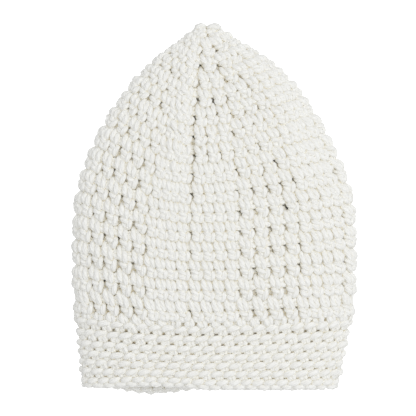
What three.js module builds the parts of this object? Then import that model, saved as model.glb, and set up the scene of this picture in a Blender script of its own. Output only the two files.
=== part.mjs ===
// A tall pointed kufi, crocheted in one piece from thick cotton yarn, lying flat on its back.
// X runs across the cap, +Y from the rim to the tip, +Z up from the table, in millimetres.
import * as THREE from 'three';

// Sizes of the cap as it lies.
const crownLength = 268; // tip to band, down the front
const crownWidth = 248; // widest, fold to fold
const crownDepth = 58; // table to the top of the front layer
const bandLength = 51; // band and edging, down the front
const rimWidth = 221; // fold to fold at the rim
const rimDepth = 44; // table to the top of the rim
const wall = 8; // thickness of the crocheted fabric
const seam = 0.3; // clearance between one piece and the next
const edgingLength = 5; // the chain round that finishes the rim
const tallRibHeight = 2.2; // how far a round of tall stitches bulges
const shortRibHeight = 0.9; // how far a round of short stitches bulges
const backSag = 6; // the back layer's rim hangs out below the front's
const pressed = 2.5; // how far the cap's own weight flattens its underside

// Rounds of stitches, counted from the tip.
const tallRounds = 16;
const shortRounds = 6;

// Mesh fineness.
const around = 48; // points in a ring
const ringsPerTallRound = 3;
const ringsPerShortRound = 2;
const innerRingsPerTallRound = 1.25;

// The crown's rounds from the tip to the band. X is a share of half crownWidth, down is a share
// of crownLength from the tip, and under and top are shares of crownDepth. A round hangs lower
// at the spine, a column of stitches down the front, than at the two folds.
const tabledRounds = 16;
const tableColumns = [
  'round', 'spineX', 'spineDown', 'leftX', 'leftDown', 'rightX', 'rightDown', 'under', 'top',
];
const crownTable = [
  [0, -0.04, 0, -0.04, 0, -0.04, 0, 0.19, 0.19],
  [0.5, -0.04, 0.023, -0.125, 0.012, 0.035, 0.012, 0.03, 0.35],
  [1, -0.045, 0.052, -0.165, 0.026, 0.07, 0.029, 0, 0.43],
  [2, -0.05, 0.109, -0.265, 0.062, 0.2, 0.065, 0, 0.56],
  [4, -0.07, 0.221, -0.45, 0.13, 0.45, 0.143, 0, 0.73],
  [6, -0.12, 0.344, -0.625, 0.218, 0.64, 0.24, 0, 0.85],
  [8, -0.155, 0.468, -0.8, 0.331, 0.81, 0.364, 0, 0.93],
  [10, -0.17, 0.596, -0.935, 0.477, 0.955, 0.526, 0, 0.98],
  [12, -0.155, 0.721, -0.99, 0.628, 0.995, 0.666, 0, 1],
  [14, -0.145, 0.846, -1, 0.795, 1, 0.821, 0, 0.98],
  [16, -0.125, 1, -0.985, 0.974, 0.978, 0.981, 0, 0.9],
];

// The rim, whose X is a share of half rimWidth and whose down is a share of bandLength.
const rim = { spineX: -0.14, spineDown: 1, leftX: -1.03, leftDown: 0.99, rightX: 0.97, rightDown: 1.02 };

// Sections of the cap in millimetres, in order down from the tip, which is at Y = 0.
const rimRound = tallRounds + shortRounds;
const halfWidth = crownWidth / 2 - tallRibHeight;
const crownSections = crownTable
  .map((row) => Object.fromEntries(row.map((value, index) => [tableColumns[index], value])))
  .map((row) => ({
    round: (row.round / tabledRounds) * tallRounds,
    spineX: row.spineX * halfWidth,
    spineY: -row.spineDown * crownLength,
    leftX: row.leftX * halfWidth,
    leftY: -row.leftDown * crownLength,
    rightX: row.rightX * halfWidth,
    rightY: -row.rightDown * crownLength,
    under: row.under * crownDepth,
    top: row.top * (crownDepth - tallRibHeight),
  }));
const rimSection = {
  round: rimRound,
  spineX: (rim.spineX * rimWidth) / 2,
  spineY: -crownLength - rim.spineDown * bandLength,
  leftX: (rim.leftX * rimWidth) / 2,
  leftY: -crownLength - rim.leftDown * bandLength,
  rightX: (rim.rightX * rimWidth) / 2,
  rightY: -crownLength - rim.rightDown * bandLength,
  under: 0,
  top: rimDepth,
};
const sections = [...crownSections, rimSection];
const sectionColumns = Object.keys(rimSection).filter((column) => column !== 'round');

// A smooth curve through one column of the sections.
function slopeAt(index, column) {
  const before = sections[Math.max(index - 1, 0)];
  const after = sections[Math.min(index + 1, sections.length - 1)];
  return (after[column] - before[column]) / (after.round - before.round);
}

function columnAt(round, column) {
  let index = 0;
  while (index < sections.length - 2 && sections[index + 1].round < round) {
    index += 1;
  }
  const start = sections[index];
  const end = sections[index + 1];
  const span = end.round - start.round;
  const t = (round - start.round) / span;
  const rise = t * t * (3 - 2 * t);
  const startPull = t * (1 - t) * (1 - t) * span * slopeAt(index, column);
  const endPull = t * t * (t - 1) * span * slopeAt(index + 1, column);
  return start[column] + (end[column] - start[column]) * rise + startPull + endPull;
}

function sectionAt(round) {
  return Object.fromEntries(sectionColumns.map((column) => [column, columnAt(round, column)]));
}

// How far a round's line has risen towards a fold, from 0 at the spine to 1 at the fold.
const vee = 0.35; // roundness of the V that each round makes at the spine

function riseAt(share) {
  return (Math.hypot(share, vee) - vee) / (Math.hypot(1, vee) - vee);
}

// The back layer lies a little further in than the front, but sags out left of the middle.
const sagStart = 0.75 * tallRounds; // where the back layer begins to part from the front
const sagTuck = 1.5; // how far it is drawn in where it doesn't sag
const sagCentre = -0.44; // share of half crownWidth
const sagReach = 0.3; // share of half crownWidth

function backShift(round, x) {
  const parting = THREE.MathUtils.smoothstep(round, sagStart, rimRound);
  const away = (x / halfWidth - sagCentre) / sagReach;
  return parting * (sagTuck - (backSag + sagTuck) * Math.exp(-away * away));
}

// A round's section at a depth inside the outer surface: half a superellipse over the front
// layer and half under the back layer, where the table flattens it.
const foldHeight = 0.44; // height of the folds as a share of the section's height
const frontFullness = 2.5; // superellipse powers: 2 is an ellipse
const backFullness = 2.8;
const layerSteps = 160;

function layerPath(section, inset, front) {
  const reach = (section.rightX - section.leftX) / 2 - inset;
  const middleX = (section.rightX + section.leftX) / 2;
  const floor = Math.max(section.under + inset, 0);
  const height = section.top - inset - floor;
  const foldZ = floor + height * foldHeight;
  const power = 2 / (front ? frontFullness : backFullness);
  const rise = front ? height * (1 - foldHeight) : -height * foldHeight - pressed;
  const path = [];
  let travelled = 0;
  for (let step = 0; step <= layerSteps; step += 1) {
    const angle = (Math.PI * step) / layerSteps;
    const across = (front ? -1 : 1) * Math.cos(angle);
    const x = middleX + reach * Math.sign(across) * Math.abs(across) ** power;
    const z = Math.max(foldZ + rise * Math.sin(angle) ** power, floor);
    const last = path.at(-1);
    travelled += last ? Math.hypot(x - last.x, z - last.z) : 0;
    path.push({ x, z, travelled, under: Math.max(foldZ - z, 0) / (foldZ - floor) });
  }
  return path;
}

// The point a share of the way along a layer's path.
function pointAlong(path, share) {
  const goal = path.at(-1).travelled * share;
  const next = Math.max(path.findIndex((point) => point.travelled >= goal), 1);
  const [before, after] = [path[next - 1], path[next]];
  const t = (goal - before.travelled) / Math.max(after.travelled - before.travelled, 1e-9);
  const blend = (key) => THREE.MathUtils.lerp(before[key], after[key], t);
  return { x: blend('x'), z: blend('z'), under: blend('under') };
}

// How far down the cap a round's line is at x.
function lineAt(section, x) {
  const onLeft = x < section.spineX;
  const foldX = onLeft ? section.leftX : section.rightX;
  const foldY = onLeft ? section.leftY : section.rightY;
  const share = Math.abs(x - section.spineX) / Math.max(Math.abs(foldX - section.spineX), 0.01);
  return THREE.MathUtils.lerp(section.spineY, foldY, riseAt(share));
}

// One ring of points round the cap, from the left fold over the front layer to the right fold
// and back underneath, evenly spaced along each layer.
function ring(round, inset) {
  const section = sectionAt(round);
  const points = [];
  for (const front of [true, false]) {
    const path = layerPath(section, inset, front);
    for (let index = 0; index < around / 2; index += 1) {
      const { x, z, under } = pointAlong(path, index / (around / 2));
      const y = lineAt(section, x) + (front ? 0 : backShift(round, x) * under);
      points.push(new THREE.Vector3(x, y, z));
    }
  }
  return points;
}

// How far the outer surface stands out on a round of stitches. The tip's first rounds are smooth.
const smoothRounds = 3;

function tallBulge(round) {
  const swell = THREE.MathUtils.smoothstep(round, 0, smoothRounds);
  return swell * tallRibHeight * Math.abs(Math.sin(Math.PI * round)) ** 0.8;
}

function shortBulge(round) {
  return shortRibHeight * Math.abs(Math.sin(Math.PI * round));
}

// A closed skin over a list of rings, in order down the outside and back up the inside. A ring
// of one point is a pole; with no poles the last ring joins the first.
function skin(rings) {
  const positions = [];
  const starts = rings.map((points) => {
    const start = positions.length / 3;
    points.forEach((point) => positions.push(point.x, point.y, point.z));
    return start;
  });
  const faces = [];
  const joins = rings[0].length === 1 ? rings.length - 1 : rings.length;
  for (let index = 0; index < joins; index += 1) {
    const next = (index + 1) % rings.length;
    for (let i = 0; i < around; i += 1) {
      const j = (i + 1) % around;
      const [a, b] = [starts[index] + i, starts[index] + j];
      const [c, d] = [starts[next] + i, starts[next] + j];
      if (rings[index].length === 1) {
        faces.push(starts[index], c, d);
      } else if (rings[next].length === 1) {
        faces.push(a, starts[next], b);
      } else {
        faces.push(a, d, b, a, c, d);
      }
    }
  }
  const geometry = new THREE.BufferGeometry();
  geometry.setAttribute('position', new THREE.Float32BufferAttribute(positions, 3));
  geometry.setIndex(faces);
  geometry.computeVertexNormals();
  return geometry;
}

function rounds(from, to, count) {
  return Array.from({ length: count + 1 }, (_, index) => from + ((to - from) * index) / count);
}

function middleOf(points) {
  const middle = new THREE.Vector3();
  points.forEach((point) => middle.addScaledVector(point, 1 / points.length));
  return middle;
}

// The round at which the hollow inside the tip has closed.
const leastHollow = 1; // the hollow isn't drawn narrower than this
const searchStep = 0.05; // in rounds

function hollowTip() {
  let round = tallRounds;
  while (round > 0) {
    const section = sectionAt(round);
    const wide = section.rightX - section.leftX;
    const high = section.top - Math.max(section.under, 0);
    if (Math.min(wide, high) < 2 * wall + leastHollow) {
      break;
    }
    round -= searchStep;
  }
  return round;
}

// A seam's clearance and the edging's length, in rounds of the band.
const bandRound = bandLength / shortRounds;
const seamRounds = seam / bandRound;
const edgingRounds = edgingLength / bandRound;

function makeCrown() {
  const end = tallRounds - seamRounds;
  const tip = hollowTip();
  const outside = rounds(0, tallRounds, tallRounds * ringsPerTallRound).slice(1, -1);
  const inside = rounds(tip, end, Math.round((end - tip) * innerRingsPerTallRound)).slice(1);
  return skin([
    [middleOf(ring(0, 0))],
    ...outside.map((round) => ring(round, -tallBulge(round))),
    ring(end, 0),
    ...inside.reverse().map((round) => ring(round, wall)),
    [middleOf(ring(tip, wall))],
  ]);
}

function makeBand() {
  const start = tallRounds;
  const end = rimRound - edgingRounds - seamRounds;
  const outside = rounds(start, end, shortRounds * ringsPerShortRound);
  const inside = rounds(start, end, shortRounds / 2).reverse();
  const count = (round) => ((round - start) / (end - start)) * shortRounds;
  return skin([
    ...outside.map((round) => ring(round, -shortBulge(count(round)))),
    ...inside.map((round) => ring(round, wall)),
  ]);
}

// The edging is rounded over the rim, so its section narrows towards the end.
function makeEdging() {
  const start = rimRound - edgingRounds;
  const narrowing = [
    { share: 0, inset: 0 },
    { share: 0.55, inset: 0.05 },
    { share: 1, inset: 0.28 },
  ];
  const outside = narrowing.map(({ share, inset }) => ring(start + share * edgingRounds, inset * wall));
  const inside = narrowing.reverse().map(({ share, inset }) =>
    ring(start + share * edgingRounds, (1 - inset) * wall),
  );
  return skin([...outside, ...inside]);
}

// Undyed cotton, matt.
function cotton(colour) {
  return new THREE.MeshStandardMaterial({ color: colour, roughness: 0.95, metalness: 0 });
}

const kufi = new THREE.Group();
const pieces = [
  { name: 'crown', geometry: makeCrown(), colour: 0xe7e7e1 },
  { name: 'band', geometry: makeBand(), colour: 0xe3e3dc },
  { name: 'edging', geometry: makeEdging(), colour: 0xdedfd7 },
];
for (const { name, geometry, colour } of pieces) {
  const mesh = new THREE.Mesh(geometry, cotton(colour));
  mesh.name = name;
  kufi.add(mesh);
}

// The origin is on the table, under the middle of the cap.
const box = new THREE.Box3().setFromObject(kufi);
const middle = box.getCenter(new THREE.Vector3());
kufi.position.set(-middle.x, -middle.y, -box.min.z);
kufi.updateMatrixWorld(true);

export default kufi;
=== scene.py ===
import bpy
import math
import time
import numpy as np
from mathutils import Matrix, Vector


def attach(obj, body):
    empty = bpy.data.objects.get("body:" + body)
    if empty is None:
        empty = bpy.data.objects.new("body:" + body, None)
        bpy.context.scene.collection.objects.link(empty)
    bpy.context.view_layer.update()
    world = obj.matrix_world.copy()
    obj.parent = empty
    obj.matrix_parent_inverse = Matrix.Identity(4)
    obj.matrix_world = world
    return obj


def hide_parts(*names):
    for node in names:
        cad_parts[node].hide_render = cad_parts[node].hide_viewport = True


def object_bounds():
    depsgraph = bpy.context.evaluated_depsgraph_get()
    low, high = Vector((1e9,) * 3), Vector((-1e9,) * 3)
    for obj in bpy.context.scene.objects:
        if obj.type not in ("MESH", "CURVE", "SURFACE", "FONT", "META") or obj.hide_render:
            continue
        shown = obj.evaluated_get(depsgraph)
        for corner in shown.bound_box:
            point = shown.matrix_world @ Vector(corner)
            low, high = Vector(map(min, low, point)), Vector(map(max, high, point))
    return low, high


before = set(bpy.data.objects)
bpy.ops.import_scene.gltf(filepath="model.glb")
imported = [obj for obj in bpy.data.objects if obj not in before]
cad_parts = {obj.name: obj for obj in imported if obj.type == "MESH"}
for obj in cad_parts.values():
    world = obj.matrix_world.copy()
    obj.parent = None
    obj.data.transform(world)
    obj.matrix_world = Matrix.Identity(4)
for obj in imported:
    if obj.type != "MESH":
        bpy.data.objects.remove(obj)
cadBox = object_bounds()
print("frame loaded")

mm = 0.001

# the cap's form as it lies, in millimetres, by the sizes of its solids
capForm = {
    "crownLength": 268,
    "crownWidth": 248,
    "crownDepth": 58,
    "bandLength": 51,
    "rimWidth": 221,
    "rimDepth": 44,
    "tallRounds": 16,
    "rimRound": 22,  # the rim, in rounds from the tip
    "ribHeight": 2.2,
    "sagStart": 12,  # the round where the back starts to sag, which it does most at its rim
    "backSag": 6,
    "sagTuck": 1.5,  # how far the back is drawn up beside the sag
    "sagCentre": -0.44,  # this and the next are shares of half the crown's width
    "sagReach": 0.3,
    "frontRise": 3.2,  # the front's rim over the sag, where the inside shows
    "frontRiseRounds": 2,
    "pressed": 2.5,  # how far the table presses the back flat
    "foldHeight": 0.44,  # share of the depth
    "frontFullness": 2.5,  # an ellipse would have 2
    "backFullness": 2.8,
    "vee": 0.35,  # how blunt the bend of the rounds is at the spine
    "layerPoints": 241,
}

# by round: the spine's X, how far down it is, the same for the left and the right fold, and the
# underside and top. X is a share of half the width, down of the length from the tip, the last two
# of the depth
crownTable = (
    (0, -0.04, 0, -0.04, 0, -0.04, 0, 0.19, 0.19),
    (0.5, -0.04, 0.023, -0.125, 0.012, 0.035, 0.012, 0.03, 0.35),
    (1, -0.045, 0.052, -0.165, 0.026, 0.07, 0.029, 0, 0.43),
    (2, -0.05, 0.109, -0.265, 0.062, 0.2, 0.065, 0, 0.56),
    (4, -0.07, 0.221, -0.45, 0.13, 0.45, 0.143, 0, 0.73),
    (6, -0.12, 0.344, -0.625, 0.218, 0.64, 0.24, 0, 0.85),
    (8, -0.155, 0.468, -0.8, 0.331, 0.81, 0.364, 0, 0.93),
    (10, -0.17, 0.596, -0.935, 0.477, 0.955, 0.526, 0, 0.98),
    (12, -0.155, 0.721, -0.99, 0.628, 0.995, 0.666, 0, 1),
    (14, -0.145, 0.846, -1, 0.795, 1, 0.821, 0, 0.98),
    (16, -0.125, 1, -0.985, 0.974, 0.978, 0.981, 0, 0.9),
)
rimRow = (22, -0.14, 1, -1.03, 0.99, 0.97, 1.02, 0, 1)


def makeSections():
    # the table in millimetres
    f = capForm
    crownHalf = f["crownWidth"] / 2 - f["ribHeight"]
    crownTop = f["crownDepth"] - f["ribHeight"]
    rimHalf = f["rimWidth"] / 2
    rows = []
    for row in crownTable + (rimRow,):
        number, spineX, spineDown, leftX, leftDown, rightX, rightDown, under, top = row
        atRim = number > f["tallRounds"]
        half, height = (rimHalf, f["rimDepth"]) if atRim else (crownHalf, crownTop)
        start, length = (f["crownLength"], f["bandLength"]) if atRim else (0, f["crownLength"])
        rows.append([
            number, spineX * half, -start - spineDown * length,
            leftX * half, -start - leftDown * length,
            rightX * half, -start - rightDown * length,
            under * f["crownDepth"], top * height,
        ])
    return np.array(rows)


sections = makeSections()
sectionNames = ("round", "spineX", "spineY", "leftX", "leftY", "rightX", "rightY", "under", "top")


def sectionAt(roundNumber):
    # a smooth curve through each column of the table
    knots = sections[:, 0]
    i = int(np.clip(np.searchsorted(knots, roundNumber) - 1, 0, len(knots) - 2))
    before, start, end = sections[max(i - 1, 0)], sections[i], sections[i + 1]
    after = sections[min(i + 2, len(knots) - 1)]
    span = end[0] - start[0]
    t = (roundNumber - start[0]) / span
    startSlope = (end - before) / (end[0] - before[0])
    endSlope = (after - start) / (after[0] - start[0])
    row = start + (end - start) * t * t * (3 - 2 * t)
    row = row + t * (1 - t) ** 2 * span * startSlope + t * t * (t - 1) * span * endSlope
    return dict(zip(sectionNames, row))


def layerPath(section, front):
    # the front or back layer across the cap, and at each point the way gone along it and how far
    # under the folds it lies, from 0 to 1
    f = capForm
    reach = (section["rightX"] - section["leftX"]) / 2
    middleX = (section["rightX"] + section["leftX"]) / 2
    floor = max(section["under"], 0)
    height = section["top"] - floor
    foldZ = floor + height * f["foldHeight"]
    power = 2 / (f["frontFullness"] if front else f["backFullness"])
    rise = height * (1 - f["foldHeight"]) if front else -height * f["foldHeight"] - f["pressed"]
    angle = np.linspace(0, math.pi, f["layerPoints"])
    across = np.cos(angle) * (-1 if front else 1)
    x = middleX + reach * np.sign(across) * np.abs(across) ** power
    z = np.maximum(foldZ + rise * np.abs(np.sin(angle)) ** power, floor)
    travelled = np.concatenate([[0], np.cumsum(np.hypot(np.diff(x), np.diff(z)))])
    under = np.maximum(foldZ - z, 0) / (foldZ - floor + 1e-6)
    return x, z, travelled, under


def ringOfPoints(roundNumber, count):
    # from the left fold over the front layer to the right fold, and back underneath
    f = capForm
    section = sectionAt(roundNumber)
    crownHalf = f["crownWidth"] / 2 - f["ribHeight"]
    vee = f["vee"]
    points = []
    girth = 0
    for front in (True, False):
        x, z, travelled, under = layerPath(section, front)
        girth += travelled[-1]
        goal = travelled[-1] * np.arange(count // 2) / (count // 2)
        x, z, under = (np.interp(goal, travelled, values) for values in (x, z, under))
        onLeft = x < section["spineX"]
        foldX = np.where(onLeft, section["leftX"], section["rightX"])
        foldY = np.where(onLeft, section["leftY"], section["rightY"])
        share = np.abs(x - section["spineX"]) / np.maximum(np.abs(foldX - section["spineX"]), 0.01)
        rise = (np.hypot(share, vee) - vee) / (math.hypot(1, vee) - vee)
        y = section["spineY"] + (foldY - section["spineY"]) * rise
        away = (x / crownHalf - f["sagCentre"]) / f["sagReach"]
        if front:
            fade = f["frontRiseRounds"]
            atRim = np.clip(roundNumber - f["rimRound"] + fade, 0, fade) / fade
            y = y + atRim * f["frontRise"] * np.exp(-away ** 4)
        else:
            t = np.clip((roundNumber - f["sagStart"]) / (f["rimRound"] - f["sagStart"]), 0, 1)
            parting = t * t * (3 - 2 * t)
            fall = (f["backSag"] + f["sagTuck"]) * np.exp(-away * away)
            y = y + under * parting * (f["sagTuck"] - fall)
        points.append(np.stack([x, y, z], axis=1))
    return np.concatenate(points), girth


# the outer surface as a grid of rings, with its outward normals
gridAround = 384
gridPerRound = 8
firstRound = 0.04


def makeSurface():
    rounds = np.arange(capForm["rimRound"] * gridPerRound + 1) / gridPerRound
    rounds[0] = firstRound
    made = [ringOfPoints(r, gridAround) for r in rounds]
    surface = np.array([points for points, girth in made])
    girths = np.array([girth for points, girth in made])
    across = np.roll(surface, -1, axis=1) - np.roll(surface, 1, axis=1)
    down = np.gradient(surface, rounds, axis=0)
    outward = np.cross(down, across)
    outward /= np.linalg.norm(outward, axis=2, keepdims=True) + 1e-9
    if outward[len(rounds) // 2, gridAround // 4, 2] < 0:
        outward = -outward
    return rounds, surface, outward, girths


gridRounds, surface, outward, girths = makeSurface()
# the box's middle stands on the origin, as in the frame
capShift = np.array([
    (cadBox[0][0] + cadBox[1][0]) / 2 / mm - (surface[..., 0].min() + surface[..., 0].max()) / 2,
    cadBox[1][1] / mm - surface[..., 1].max(),
    0,
])


def onGrid(grid, rounds, shares):
    # the grid's values between its points, by round and by share of the way round
    row = np.interp(rounds, gridRounds, np.arange(len(gridRounds)))
    i = np.clip(row.astype(int), 0, len(gridRounds) - 2)
    u = (row - i)[:, None]
    column = (shares % 1) * gridAround
    j = column.astype(int) % gridAround
    v = (column - column.astype(int))[:, None]
    k = (j + 1) % gridAround
    upper = grid[i, j] * (1 - v) + grid[i, k] * v
    lower = grid[i + 1, j] * (1 - v) + grid[i + 1, k] * v
    return upper * (1 - u) + lower * u


# lengths in millimetres. The tables hold rounds, and then a value at each
yarn = {
    "diameter": 4.8,
    "step": 2.2,  # length of one straight piece of a strand
    "bevelSteps": 2,  # makes a strand eight-sided
    "seed": 11,
    "thinning": ((0, 0.5, 1.2, 2.5), (0.35, 0.6, 0.85, 1)),  # the wall is thinner at the tip
    "drawnIn": ((0, 0.7, 2.2), (1.8, 1.2, 0)),  # the tip is pulled together
    "rib": 3.4,  # how far a tall round's middle stands out
    "ribShare": (0.7, 0.6),  # the share of it everywhere, and what the folds have more
    # the rib's form over the height of one round, and how much of it each round has
    "ribShape": ((0, 0.12, 0.3, 0.5, 0.7, 0.88, 1), (0, 0.5, 0.9, 1, 0.9, 0.5, 0)),
    "ribbed": ((0, 1.5, 4, 15.6, 16.2), (0, 0.5, 1, 1, 0)),
    # how far the yarn lies in from the cap's surface, everywhere and at the folds
    "sink": ((0, 2, 9, 12, 15.8, 16.3, 20, 22), (0, 1.8, 2.0, 1.4, 1.4, 2.0, 1.5, 0)),
    "foldSink": ((0, 1.5, 8, 11, 15.5, 16), (4.5, 3.4, 4.6, 1.8, 1.8, 0)),
    "rightFold": 0.45,  # the right fold's share of foldSink
    "lift": 3.2,  # how far the table pushes the underside's yarn up
    "onTable": 0.92,  # how high a strand lies on the table, as a share of its radius
}
chance = np.random.RandomState(yarn["seed"])


def place(rounds, shares, depths):
    # depths in millimetres in from the outer surface; the wall thins towards the tip. The last
    # three columns are how far each point moves when the rounds bulge
    point = onGrid(surface, rounds, shares)
    normal = onGrid(outward, rounds, shares)
    normal /= np.linalg.norm(normal, axis=1, keepdims=True)
    inward = depths * np.interp(rounds, *yarn["thinning"]) + np.interp(rounds, *yarn["drawnIn"])
    point = point - normal * inward[:, None]
    down = np.clip(-normal[:, 2], 0, 1)
    point[:, 2] += yarn["lift"] * down ** 2
    # each tall round bulges, most at the folds
    everywhere, folds = yarn["ribShare"]
    side = normal[:, 0] ** 2
    rib = np.interp(rounds, *yarn["ribbed"]) * yarn["rib"] * (everywhere + folds * side)
    rib = rib * np.interp(rounds % 1, *yarn["ribShape"]) - np.interp(rounds, *yarn["sink"])
    # the peak's folds are drawn in further, the left one most
    foldShare = np.where(normal[:, 0] < 0, 1, yarn["rightFold"])
    rib = rib - side * foldShare * np.interp(rounds, *yarn["foldSink"])
    return np.c_[point + capShift, normal * rib[:, None]]


# one stitch as the route of its strand: stitches ahead, millimetres along from the stitch's
# middle, rounds up from its foot, millimetres in from the cap's outer surface, and fullness
tallStitch = (
    (-1.00, 1.5, 1.05, 6.8, 0.90),
    (-0.55, 0.0, 1.00, 7.2, 1.00),
    (-0.12, 0.0, 0.92, 7.6, 0.90),
    (0.00, -1.4, 0.82, 7.0, 0.90),
    (0.00, -2.6, 0.70, 4.6, 0.85),
    (0.00, -1.8, 0.62, 1.8, 0.90),
    (0.00, 0.0, 0.51, 0.6, 0.95),
    (0.00, 1.8, 0.40, 1.8, 0.90),
    (0.00, 2.6, 0.32, 4.6, 0.85),
    (0.00, 0.5, 0.06, 7.6, 0.95),
    (0.00, -0.3, -0.24, 6.6, 0.85),
    (0.00, -1.6, -0.23, 4.2, 0.90),
    (0.00, -2.4, -0.04, 1.6, 1.00),
    (0.00, -2.7, 0.15, -0.4, 1.10),
    (0.00, -2.0, 0.33, 0.5, 1.02),
    (0.00, -1.5, 0.46, 2.4, 0.95),
    (0.00, 0.0, 0.55, 3.6, 0.90),
    (0.00, 1.5, 0.46, 2.4, 0.95),
    (0.00, 2.0, 0.33, 0.5, 1.02),
    (0.00, 2.7, 0.15, -0.4, 1.10),
    (0.00, 2.4, -0.04, 1.6, 1.00),
    (0.00, 1.6, -0.23, 4.2, 0.90),
    (0.00, 0.3, -0.24, 6.6, 0.85),
    (0.00, -0.8, 0.06, 7.6, 0.95),
    (0.00, -1.2, 0.34, 6.8, 1.00),
    (0.00, -2.0, 0.46, 4.2, 0.90),
    (0.00, -2.3, 0.60, 1.2, 1.00),
    (0.00, -2.3, 0.78, 0.2, 1.05),
    (0.00, -1.2, 0.90, 1.8, 1.00),
    (0.00, 0.0, 0.94, 3.6, 0.90),
    (0.00, 1.2, 0.90, 1.8, 1.00),
    (0.00, 2.3, 0.78, 0.2, 1.05),
    (0.00, 2.3, 0.60, 1.2, 1.00),
    (0.00, 2.0, 0.46, 4.4, 0.90),
    (0.00, 0.6, 0.62, 7.2, 1.00),
    (0.00, 0.2, 0.84, 6.8, 0.90),
    (0.05, 0.0, 0.95, 5.2, 0.90),
    (0.38, 0.0, 0.98, 5.4, 0.95),
    (0.86, 0.0, 0.99, 2.4, 1.10),
    (1.18, 0.0, 1.06, 4.0, 0.95),
    (0.90, 0.0, 1.17, 1.8, 1.10),
    (0.44, 0.0, 1.13, 5.8, 0.95),
    (0.10, 0.0, 1.10, 6.8, 0.95),
)
# behind a slit the yarn sags on its way from the stitch before
sag = (
    (-0.64, 0.0, 0.90, 8.0, 0.95),
    (-0.60, 0.0, 0.50, 8.2, 0.95),
    (-0.42, 0.0, 0.50, 8.2, 0.95),
    (-0.38, 0.0, 0.90, 8.0, 0.95),
)
backedStitch = np.concatenate([tallStitch[:1], sag, tallStitch[2:]])
# in the open panels each stitch is drawn tight above its foot, one leg half over the other. Its
# legs and foot are the parts of the route between these heights and less deep than this
openStitch = {
    "tightness": (0.48, 0.54, 0.6, 0.68, 0.76, 0.84, 0.9),  # shares of the full width
    "legHeights": (0.28, 0.97),
    "legDepth": 5,
    "footHeights": (-0.1, 0.2),
    "footDepth": 2,
    "legUnder": 2.2,  # how much deeper the right leg lies
    "chainAhead": 0.3,  # the chain at the top starts here, and lies this much higher
    "chainRise": 0.05,
}


def makeOpenStitch(tightness):
    o = openStitch
    table = backedStitch.copy()
    ahead, along, up, inward, fat = table.T
    legs = (ahead == 0) & (up > o["legHeights"][0]) & (up < o["legHeights"][1])
    legs = legs & (inward < o["legDepth"])
    foot = (up > o["footHeights"][0]) & (up < o["footHeights"][1]) & (inward < o["footDepth"])
    along[legs] *= tightness
    inward[legs & (along > 0)] += o["legUnder"]
    along[foot] *= (1 + tightness) / 2
    up[ahead > o["chainAhead"]] += o["chainRise"]
    return table


openStitches = [makeOpenStitch(tightness) for tightness in openStitch["tightness"]]
# the band's stitch: low, with the chain along its top lying forward over it
shortStitch = (
    (-1.00, 1.0, 1.05, 6.2, 0.90),
    (-0.45, 0.0, 0.50, 7.0, 1.00),
    (0.00, -0.6, -0.10, 6.0, 0.85),
    (0.00, -1.6, -0.15, 2.8, 0.85),
    (0.00, -2.3, 0.20, 0.6, 1.00),
    (0.00, -2.5, 0.50, 1.2, 1.00),
    (0.00, -1.6, 0.75, 2.8, 0.95),
    (0.00, 0.0, 0.82, 4.0, 0.90),
    (0.00, 1.6, 0.75, 2.8, 0.95),
    (0.00, 2.5, 0.50, 1.2, 1.00),
    (0.00, 2.3, 0.20, 0.6, 1.00),
    (0.00, 1.6, -0.15, 2.8, 0.85),
    (0.00, 0.6, -0.10, 6.0, 0.85),
    (0.00, 0.2, 0.45, 7.0, 1.00),
    (0.00, 0.2, 0.85, 5.6, 0.90),
    (0.05, 0.4, 0.98, 3.0, 0.90),
    (0.35, 0.0, 0.98, 0.8, 1.08),
    (0.80, 0.0, 1.02, -0.2, 1.12),
    (1.15, 0.6, 1.12, 2.2, 0.95),
    (0.80, 0.0, 1.30, 4.2, 1.00),
    (0.35, 0.0, 1.25, 5.0, 1.00),
)
# the rim's stitch: the chain alone
slipStitch = (
    (-1.00, 1.0, 0.60, 6.4, 0.90),
    (-0.50, 0.0, 0.45, 6.6, 1.00),
    (-0.10, 0.0, 0.30, 5.0, 0.95),
    (0.00, 0.4, 0.60, 3.0, 0.90),
    (0.35, 0.0, 0.85, 1.0, 1.08),
    (0.80, 0.0, 0.90, 0.6, 1.10),
    (1.08, 0.6, 0.85, 3.0, 0.90),
    (0.75, 0.0, 0.80, 5.6, 1.00),
    (0.35, 0.0, 0.75, 5.6, 1.00),
)


# how much one stitch differs from the next, before a round's wobble makes it more or less
looseness = {
    "width": 0.06,
    "along": 0.25,  # millimetres
    "inward": 0.25,
    "up": 0.012,  # rounds
}


def roundRoute(stitches, centres, base, height, lean, wobble):
    # one round's strand, from a table for each stitch of the round
    count = len(centres)
    table = np.concatenate(stitches)
    which = np.repeat(np.arange(count), [len(stitch) for stitch in stitches])
    extended = np.concatenate([centres - 1, centres, centres + 1])
    places = np.arange(-count, 2 * count)
    pitch = np.interp(base + height / 2, gridRounds, girths) / count
    ahead, along, up, inward, fat = table.T
    shares = np.interp(which + ahead, places, extended)
    loose = chance.normal(0, wobble, (count, 4))[which]
    along = along * (1 + looseness["width"] * loose[:, 0]) + looseness["along"] * loose[:, 1]
    along = along + lean * pitch * (0.5 - up)
    inward = inward + looseness["inward"] * loose[:, 2]
    rounds = base + (up + looseness["up"] * loose[:, 3]) * height
    shares = 1 - (shares + along / np.interp(rounds, gridRounds, girths))
    return rounds, shares, inward, fat


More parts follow.
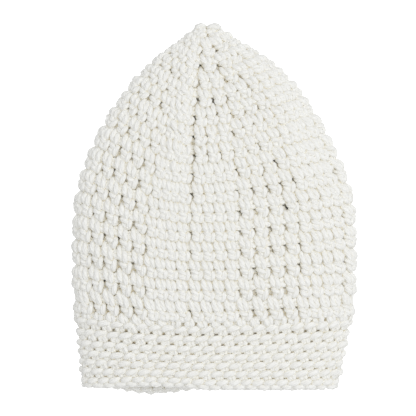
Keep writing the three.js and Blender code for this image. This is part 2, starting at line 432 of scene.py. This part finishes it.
def smoothLoop(points, fat):
    # a closed smooth curve through the points, cut into even lengths
    pieces = 6
    p0, p1, p2, p3 = (np.roll(points, shift, axis=0) for shift in (1, 0, -1, -2))
    f1, f2 = fat, np.roll(fat, -1)
    t = np.arange(pieces)[:, None, None] / pieces
    a = -0.5 * p0 + 1.5 * p1 - 1.5 * p2 + 0.5 * p3
    b = p0 - 2.5 * p1 + 2 * p2 - 0.5 * p3
    c = 0.5 * (p2 - p0)
    fine = ((a * t + b) * t + c) * t + p1
    fine = fine.transpose(1, 0, 2).reshape(-1, points.shape[1])
    t = t[:, :, 0]
    fineFat = (f1 + (f2 - f1) * t).T.ravel()
    closed = np.concatenate([fine, fine[:1]])
    lengths = np.linalg.norm(np.diff(closed[:, :3], axis=0), axis=1)
    travelled = np.concatenate([[0], np.cumsum(lengths)])
    count = int(round(travelled[-1] / yarn["step"]))
    goal = travelled[-1] * np.arange(count) / count
    even = np.stack([np.interp(goal, travelled, column) for column in closed.T], axis=1)
    evenFat = np.interp(goal, travelled, np.append(fineFat, fineFat[0]))
    return even, evenFat


def closePairs(points, reach):
    # every pair of points that share a cell of the grid or lie in neighbouring ones
    cell = np.floor(points / reach).astype(np.int64)
    cell -= cell.min(axis=0) - 1
    size = cell.max(axis=0) + 2
    key = (cell[:, 0] * size[1] + cell[:, 1]) * size[2] + cell[:, 2]
    order = np.argsort(key, kind="stable")
    ordered = key[order]
    found = []
    for x in (0, 1):
        for y in (-1, 0, 1) if x else (0, 1):
            for z in (-1, 0, 1) if x or y else (0, 1):
                other = ordered + (x * size[1] + y) * size[2] + z
                first = np.searchsorted(ordered, other, "left")
                count = np.searchsorted(ordered, other, "right") - first
                a = np.repeat(np.arange(len(ordered)), count)
                b = np.repeat(first - np.cumsum(count) + count, count) + np.arange(count.sum())
                keep = a < b if not (x or y or z) else slice(None)
                found.append(np.stack([order[a[keep]], order[b[keep]]]))
    a, b = np.concatenate(found, axis=1)
    near = ((points[a] - points[b]) ** 2).sum(axis=1) < reach * reach
    return a[near], b[near]


# strands that would run through each other push each other aside a little in every turn
pressing = {
    "turns": 24,
    "searchEvery": 3,  # turns
    "searchReach": 1.2,  # diameters
    "firmness": 0.88,  # the share of its thickness that a strand holds against another
    "free": 4,  # points of a strand this near along it don't push each other
    "push": 0.6,
    "crowding": 0.7,  # how far many pushes at one point count as one
    "smooth": 0.12,
    "hold": 0.05,  # how much a point is drawn back to its place
}


def pressApart(strands):
    f = pressing
    sizes = [len(points) for points, fat in strands]
    starts = np.concatenate([[0], np.cumsum(sizes)[:-1]])
    strand = np.repeat(np.arange(len(strands)), sizes)
    order = np.concatenate([np.arange(size) for size in sizes])
    around = np.array(sizes)[strand]
    before = starts[strand] + (order - 1) % around
    after = starts[strand] + (order + 1) % around
    points = np.concatenate([points for points, fat in strands])
    points, bulge = points[:, :3], points[:, 3:]
    radius = np.concatenate([fat for points, fat in strands]) * yarn["diameter"] / 2 * f["firmness"]
    home = points.copy()
    for turn in range(f["turns"]):
        if turn % f["searchEvery"] == 0:
            a, b = closePairs(points, yarn["diameter"] * f["searchReach"])
            apart = np.abs(order[a] - order[b])
            apart = np.minimum(apart, around[a] - apart)
            keep = (strand[a] != strand[b]) | (apart > f["free"])
            a, b = a[keep], b[keep]
        gap = points[a] - points[b]
        distance = np.linalg.norm(gap, axis=1) + 1e-6
        overlap = np.maximum(radius[a] + radius[b] - distance, 0)
        push = gap * (overlap / distance)[:, None] * f["push"]
        touching = (overlap > 0).astype(float)
        total = np.zeros_like(points)
        for axis in range(3):
            total[:, axis] = np.bincount(a, push[:, axis], len(points))
            total[:, axis] -= np.bincount(b, push[:, axis], len(points))
        number = np.bincount(a, touching, len(points)) + np.bincount(b, touching, len(points))
        points = points + total / np.maximum(number, 1)[:, None] ** f["crowding"]
        points = points + f["smooth"] * ((points[before] + points[after]) / 2 - points)
        points = points + f["hold"] * (home - points)
        points[:, 2] = np.maximum(points[:, 2], radius)
    points = points + bulge
    result = []
    for moved, (_, fat) in zip(np.split(points, starts[1:]), strands):
        length = np.linalg.norm(moved - np.roll(moved, 1, axis=0), axis=1).sum()
        result.append((moved, fat, length))
    return result


def strandCurve(name, strands):
    # one curve of closed strands of yarn, made a mesh
    curve = bpy.data.curves.new(name, "CURVE")
    curve.dimensions = "3D"
    curve.bevel_depth = yarn["diameter"] / 2 * mm
    curve.bevel_resolution = yarn["bevelSteps"]
    lengths = []
    for points, fat, length in strands:
        radius = yarn["diameter"] / 2 * fat
        points = points.copy()
        points[:, 2] = np.maximum(points[:, 2], radius * yarn["onTable"])
        spline = curve.splines.new("POLY")
        spline.points.add(len(points) - 1)
        spline.points.foreach_set("co", np.c_[points * mm, np.ones(len(points))].ravel())
        spline.points.foreach_set("radius", fat)
        spline.use_cyclic_u = True
        spline.use_smooth = True
        lengths.append((length, len(points)))
    piece = bpy.data.objects.new(name, curve)
    bpy.context.collection.objects.link(piece)
    bpy.ops.object.select_all(action="DESELECT")
    piece.select_set(True)
    bpy.context.view_layer.objects.active = piece
    bpy.ops.object.convert(target="MESH")
    piece = bpy.context.object
    # the UV's first number becomes millimetres along the strand
    uv = np.empty(len(piece.data.loops) * 2)
    layer = piece.data.uv_layers[0]
    layer.data.foreach_get("uv", uv)
    uv = uv.reshape(-1, 2)
    perPoint = len(piece.data.loops) // sum(count for length, count in lengths)
    start = 0
    for length, count in lengths:
        uv[start:start + count * perPoint, 0] *= length
        start += count * perPoint
    layer.data.foreach_set("uv", uv.ravel())
    print(name, len(piece.data.polygons) * 2, "triangles")
    return piece


# the pattern round the crown, from the left fold over the front: four repeats of an open panel,
# a close one, a slit and another close one
panels = {
    "start": 0.045,  # this and the ends are shares of the round
    "ends": (0.139, 0.2145, 0.29, 0.39, 0.468, 0.546, 0.64, 0.7175, 0.795, 0.89, 0.9675, 1.045),
    "slit": (2.9, 1.5),  # millimetres of half a slit, up to the first of the next rounds and
    "slitRounds": (9, 11),  # from the second on
    # how far the front's slit stands aside, by round
    "slitMoved": ((4, 6.5, 8, 9.5, 16), (-0.026, -0.023, -0.013, -0.007, -0.004)),
    "border": 1.0,  # millimetres beside the open panels
    "beforeEnd": 0.3,  # both are measured this far before a round's end, in rounds
    "openFrom": (0, 3, 1, 3),  # each open panel's tightest kind of stitch
    "openKinds": 4,  # how many kinds it has, from that one on
    "rightFold": 5,  # the close panel that is open too between these rounds
    "foldOpen": (4, 9),
}
# stitches in the open panel, before the slit and after it, round by round from the tip
stitchCounts = (
    (1, 1, 0), (1, 1, 1), (2, 1, 1), (2, 2, 2), (3, 2, 2), (3, 3, 3), (4, 3, 3), (4, 4, 3),
) + ((4, 4, 4),) * 8


def tallCentres(number):
    # middles of the stitches as shares of the round, in the order that they are made, and the
    # table of each
    p = panels
    centres = []
    tables = []
    start = p["start"]
    girth = np.interp(number - p["beforeEnd"], gridRounds, girths)
    slit = np.interp(number, p["slitRounds"], p["slit"]) / girth
    border = p["border"] / girth
    ends = np.array(p["ends"])
    ends[1] += np.interp(number, *p["slitMoved"])
    for panel, end in enumerate(ends):
        repeat, part = divmod(panel, 3)
        count = stitchCounts[number - 1][part]
        first = start + (0, border, slit)[part]
        last = end - (0, slit, border)[part]
        atFold = panel == p["rightFold"] and p["foldOpen"][0] <= number <= p["foldOpen"][1]
        if count:
            centres += list(first + (last - first) * (np.arange(count) + 0.5) / count)
        for stitch in range(count):
            if part == 0 or atFold:
                tables.append(openStitches[p["openFrom"][repeat] + chance.randint(p["openKinds"])])
            else:
                tables.append(backedStitch if stitch == count - 1 else tallStitch)
        start = end
    order = np.argsort(-np.array(centres))
    return 1 - np.array(centres)[order], [tables[i] for i in order]


# the tall rounds: each stands on the top of the one before, and the last two are less tall
crown = {
    "first": 0.4,  # where the first round starts, in rounds from the tip
    # after so many tall rounds the crown has come down to here, and at the last one it goes this
    # far under the start of the band
    "after": (-0.4, 14, 16),
    "reached": (-0.3, 14.05),
    "under": 0.05,
    "lean": 0.35,  # stitches that a stitch leans over its height, and in the last round
    "lastLean": 0.5,
    "wobble": 1.4,
}


def tallRound(number):
    reached = crown["reached"] + (band["start"] + crown["under"],)
    base, top = np.interp((number - 1, number), crown["after"], reached)
    base = max(base, crown["first"])
    centres, tables = tallCentres(number)
    lean = crown["lastLean"] if number == capForm["tallRounds"] else crown["lean"]
    route = roundRoute(tables, centres, base, top - base, lean, crown["wobble"])
    return smoothLoop(place(*route[:3]), route[3])


# the band, in rounds of the crown. Its first round lies over the crown's foot
band = {
    "start": 15.62,
    "end": 21.5,
    "rounds": 7,
    "stitches": 46,
    "drift": 0.4,  # how far each round's stitches stand ahead of the one's before, in stitches
    "fullness": 1.06,
    "chainStart": 21.3,
    "chainHeight": 0.5,
    "wobble": 1.0,
}


def shortRound(number):
    count = band["stitches"]
    laterFeet = np.linspace(capForm["tallRounds"], band["end"], band["rounds"])
    base, top = np.append(band["start"], laterFeet)[number - 1:number + 1]
    centres = (np.arange(count) + number * band["drift"]) / count
    route = roundRoute([shortStitch] * count, centres, base, top - base, 0, band["wobble"])
    return smoothLoop(place(*route[:3]), route[3] * band["fullness"])


def slipRound():
    count = band["stitches"]
    centres = (np.arange(count) + 0.5) / count
    stitches = [slipStitch] * count
    route = roundRoute(stitches, centres, band["chainStart"], band["chainHeight"], 0, band["wobble"])
    return smoothLoop(place(*route[:3]), route[3])


def addNode(tree, kind, values=None, **settings):
    # values are numbers or other nodes' outputs, by socket name or number
    node = tree.nodes.new(kind)
    for key, value in settings.items():
        setattr(node, key, value)
    for key, value in (values or {}).items():
        if isinstance(value, bpy.types.NodeSocket):
            tree.links.new(value, node.inputs[key])
        else:
            node.inputs[key].default_value = value
    return node


def srgb(code):
    parts = [int(code[i:i + 2], 16) / 255 for i in (1, 3, 5)]
    return tuple(c / 12.92 if c <= 0.04045 else ((c + 0.055) / 1.055) ** 2.4 for c in parts) + (1,)


# soft spun cotton, undyed: matt and chalky, a warm off-white, with a faint sheen where its loose
# fibres catch the light and six plies that twist along the strand
cottonYarn = {
    "colour": "#FBF9EF",
    "hardSpun": "#F6F3E8",
    "softSpun": "#FEFCF3",
    # painted shade: the warmer cream painted deep between strands
    "paintedShadeColour": "#FBF5E1",
    "roughness": 0.9,
    "specular": 0.25,
    "sheen": 0.15,
    "plies": 6,
    "lay": 32,  # millimetres of strand in which a ply goes round once
    "plyStrength": 0.42,
    "plyDepth": 0.0006,  # metres, as the next lengths are
    # loose fibres are 0.02 mm thick and too fine to show, so they are drawn about 1 mm coarse
    "fibresPerMetre": 1100,
    "fibreStrength": 0.7,
    "fibreDepth": 0.0005,
    "slubsPerMetre": 260,  # about 4 mm
    "slubRange": (0.3, 0.7),
    # how far the painted shade looks for strands around a point, in metres, and the occlusion over
    # which it fades from full to none
    "paintedShadeReach": 0.012,
    "paintedShadeRange": (0.02, 0.28),
}


def cottonMaterial():
    c = cottonYarn
    material = bpy.data.materials.new("softSpunCotton")
    material.use_nodes = True
    tree = material.node_tree
    shader = tree.nodes["Principled BSDF"]
    shader.inputs["Base Color"].default_value = srgb(c["colour"])
    shader.inputs["Roughness"].default_value = c["roughness"]
    shader.inputs["Specular IOR Level"].default_value = c["specular"]
    shader.inputs["Sheen Weight"].default_value = c["sheen"]
    # the plies: the UV's numbers are millimetres along the strand and the share of the way round it
    uv = addNode(tree, "ShaderNodeUVMap")
    parts = addNode(tree, "ShaderNodeSeparateXYZ", {0: uv.outputs[0]})
    around, along = 2 * math.pi * c["plies"], 2 * math.pi * c["plies"] / c["lay"]
    turn = addNode(tree, "ShaderNodeMath", {0: parts.outputs[1], 1: around}, operation="MULTIPLY")
    lay = addNode(tree, "ShaderNodeMath", {0: parts.outputs[0], 1: along}, operation="MULTIPLY")
    both = addNode(tree, "ShaderNodeMath", {0: turn.outputs[0], 1: lay.outputs[0]}, operation="ADD")
    wave = addNode(tree, "ShaderNodeMath", {0: both.outputs[0]}, operation="SINE")
    plies = addNode(tree, "ShaderNodeBump", {
        "Strength": c["plyStrength"], "Distance": c["plyDepth"], "Height": wave.outputs[0],
    })
    # fine loose fibres, and slubs a little darker where the yarn is spun harder
    where = addNode(tree, "ShaderNodeTexCoord").outputs["Object"]
    fibre = addNode(tree, "ShaderNodeTexNoise", {
        "Vector": where, "Scale": c["fibresPerMetre"], "Detail": 2, "Roughness": 0.7,
    })
    fuzz = addNode(tree, "ShaderNodeBump", {
        "Strength": c["fibreStrength"], "Distance": c["fibreDepth"],
        "Height": fibre.outputs[0], "Normal": plies.outputs[0],
    })
    tree.links.new(fuzz.outputs[0], shader.inputs["Normal"])
    slub = addNode(tree, "ShaderNodeTexNoise", {
        "Vector": where, "Scale": c["slubsPerMetre"], "Detail": 3,
    })
    low, high = c["slubRange"]
    shade = addNode(tree, "ShaderNodeMapRange", {
        "Value": slub.outputs[0], "From Min": low, "From Max": high,
    })
    colour = addNode(tree, "ShaderNodeMix", {"Factor": shade.outputs[0]}, data_type="RGBA")
    colour.inputs[6].default_value = srgb(c["hardSpun"])
    colour.inputs[7].default_value = srgb(c["softSpun"])
    # painted shade: where strands lie deep between others, the occlusion node finds them hidden and
    # the colour there is painted a warmer cream, standing in for light that has come through the
    # cotton
    exposed = addNode(tree, "ShaderNodeAmbientOcclusion", {"Distance": c["paintedShadeReach"]})
    low, high = c["paintedShadeRange"]
    paintedShadeMask = addNode(tree, "ShaderNodeMapRange", {
        "Value": exposed.outputs["AO"], "From Min": low, "From Max": high,
    })
    warm = addNode(tree, "ShaderNodeMix", {"Factor": paintedShadeMask.outputs[0]}, data_type="RGBA")
    warm.inputs[6].default_value = srgb(c["paintedShadeColour"])
    tree.links.new(colour.outputs[2], warm.inputs[7])
    tree.links.new(warm.outputs[2], shader.inputs["Base Color"])
    return material


cotton = cottonMaterial()
print("cotton ready")


def finishPiece(piece, node):
    piece.data.materials.clear()
    piece.data.materials.append(cotton)
    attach(piece, "root")
    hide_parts(node)


rounds = [tallRound(number) for number in range(1, capForm["tallRounds"] + 1)]
rounds += [shortRound(number) for number in range(1, band["rounds"] + 1)]
rounds += [slipRound()]
print(len(rounds), "rounds laid out")
started = time.time()
rounds = pressApart(rounds)
print("strands pressed apart", round(time.time() - started, 1), "s")
finishPiece(strandCurve("crownPeak", rounds[:7]), "crown")
finishPiece(strandCurve("crownShoulder", rounds[7:10]), "crown")
finishPiece(strandCurve("crownMiddle", rounds[10:13]), "crown")
finishPiece(strandCurve("crownFoot", rounds[13:16]), "crown")
finishPiece(strandCurve("bandTop", rounds[16:20]), "band")
finishPiece(strandCurve("bandFoot", rounds[20:23]), "band")
finishPiece(strandCurve("rimChain", rounds[23:]), "edging")


# the floor, the light and the camera, in metres and degrees
studio = {
    "floorSize": 60,
    "floorDrop": 0.0002,  # keeps the floor clear of the cap's underside
    "floorColour": "#E6E6E6",
    "floorGlow": 1.6,
    "nearCap": 0.05,
    "openEnough": 0.25,
    "daylight": (0.927, 0.949, 1),
    "skyStrength": 0.632,
    "lampSize": 1.6,
    "lampEnergy": 13.0,
    "lampPlace": (0.6, 0.3, 1.5),
    "lampTurn": (-11, 21, 0),
    "cameraHeight": 1.9,
    "cameraAside": -0.0052,
    "across": 0.363,  # what the picture's width shows of the cap, at the height of its front
    "frontHeight": 0.04,
    "sensor": 36,
    "gamma": 1.4,
    "bounces": 24,  # light goes deep between white strands
}


def makeFloor():
    bpy.ops.object.select_all(action="DESELECT")
    bpy.ops.mesh.primitive_plane_add(size=studio["floorSize"], location=(0, 0, -studio["floorDrop"]))
    floor = bpy.context.object
    floor.name = "whiteTable"
    # matt white card
    material = bpy.data.materials.new("whiteCard")
    material.use_nodes = True
    tree = material.node_tree
    shader = tree.nodes["Principled BSDF"]
    shader.inputs["Base Color"].default_value = srgb(studio["floorColour"])
    shader.inputs["Roughness"].default_value = 0.9
    shader.inputs["Specular IOR Level"].default_value = 0.0
    # burnt out to plain white in the picture where it lies open, not under the cap's holes
    path = addNode(tree, "ShaderNodeLightPath")
    exposed = addNode(tree, "ShaderNodeAmbientOcclusion", {"Distance": studio["nearCap"]})
    clear = addNode(tree, "ShaderNodeMath", {
        0: exposed.outputs["AO"], 1: studio["openEnough"],
    }, operation="GREATER_THAN")
    seen = addNode(tree, "ShaderNodeMath", {
        0: path.outputs["Is Camera Ray"], 1: clear.outputs[0],
    }, operation="MULTIPLY")
    white = addNode(tree, "ShaderNodeEmission", {"Strength": studio["floorGlow"]})
    mix = addNode(tree, "ShaderNodeMixShader", {
        0: seen.outputs[0], 1: shader.outputs[0], 2: white.outputs[0],
    })
    tree.links.new(mix.outputs[0], tree.nodes["Material Output"].inputs[0])
    floor.data.materials.append(material)


def makeLight():
    world = bpy.data.worlds.new("studio")
    bpy.context.scene.world = world
    world.use_nodes = True
    sky = world.node_tree.nodes["Background"]
    sky.inputs[0].default_value = studio["daylight"] + (1,)
    sky.inputs[1].default_value = studio["skyStrength"]
    lamp = bpy.data.lights.new("overheadSoftbox", "AREA")
    lamp.size = studio["lampSize"]
    lamp.energy = studio["lampEnergy"]
    lamp.color = studio["daylight"]
    box = bpy.data.objects.new("overheadSoftbox", lamp)
    box.location = studio["lampPlace"]
    box.rotation_euler = [math.radians(angle) for angle in studio["lampTurn"]]
    bpy.context.collection.objects.link(box)


def makeCamera():
    # straight above, as the photograph was taken
    height = studio["cameraHeight"]
    data = bpy.data.cameras.new("above")
    data.sensor_width = studio["sensor"]
    data.lens = studio["sensor"] * (height - studio["frontHeight"]) / studio["across"]
    camera = bpy.data.objects.new("above", data)
    camera.location = (studio["cameraAside"], 0, height)
    bpy.context.collection.objects.link(camera)
    scene = bpy.context.scene
    scene.camera = camera
    scene.view_settings.view_transform = "Standard"
    scene.view_settings.gamma = studio["gamma"]
    scene.cycles.diffuse_bounces = studio["bounces"]
    scene.cycles.max_bounces = studio["bounces"]


makeFloor()
makeLight()
makeCamera()
print("floor, light and camera set")
